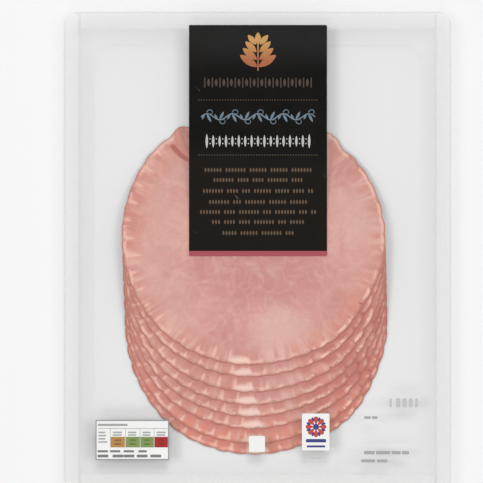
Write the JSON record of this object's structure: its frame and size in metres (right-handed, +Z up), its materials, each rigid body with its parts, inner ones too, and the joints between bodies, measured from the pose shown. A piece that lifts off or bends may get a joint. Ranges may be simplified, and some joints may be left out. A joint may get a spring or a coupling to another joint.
{
  "type": "pack of sliced cured ham",
  "caption": "Flat clear tray pack sealed with clear film, holding a fan of round cured ham slices under a long dark label.",
  "frame": {"origin": "under the middle of the pack's outline, on the surface that it lies on", "axes": "+Y towards the head end, where the label is, +X to the right as the label is read, and +Z up out of the lid"},
  "size_m": [0.1934, 0.24, 0.0165],
  "materials": {
    "clear_tray": "clear thermoformed plastic with a slight haze",
    "clear_film": "thin clear glossy film",
    "ham": "moist pink cured meat with pale fat",
    "dark_label": "soft satin print on paper",
    "white_print": "flat white print"
  },
  "bodies": {
    "root": {"tray": "clear_tray", "ham_slice_1": "ham", "ham_slice_2": "ham", "ham_slice_3": "ham", "ham_slice_4": "ham", "ham_slice_5": "ham", "ham_slice_6": "ham", "ham_slice_7": "ham", "ham_slice_8": "ham", "lid_film": "clear_film", "label": "dark_label", "nutrition_panel": "white_print", "mark_panel": "white_print", "blank_patch": "white_print"}
  },
  "joints": []
}
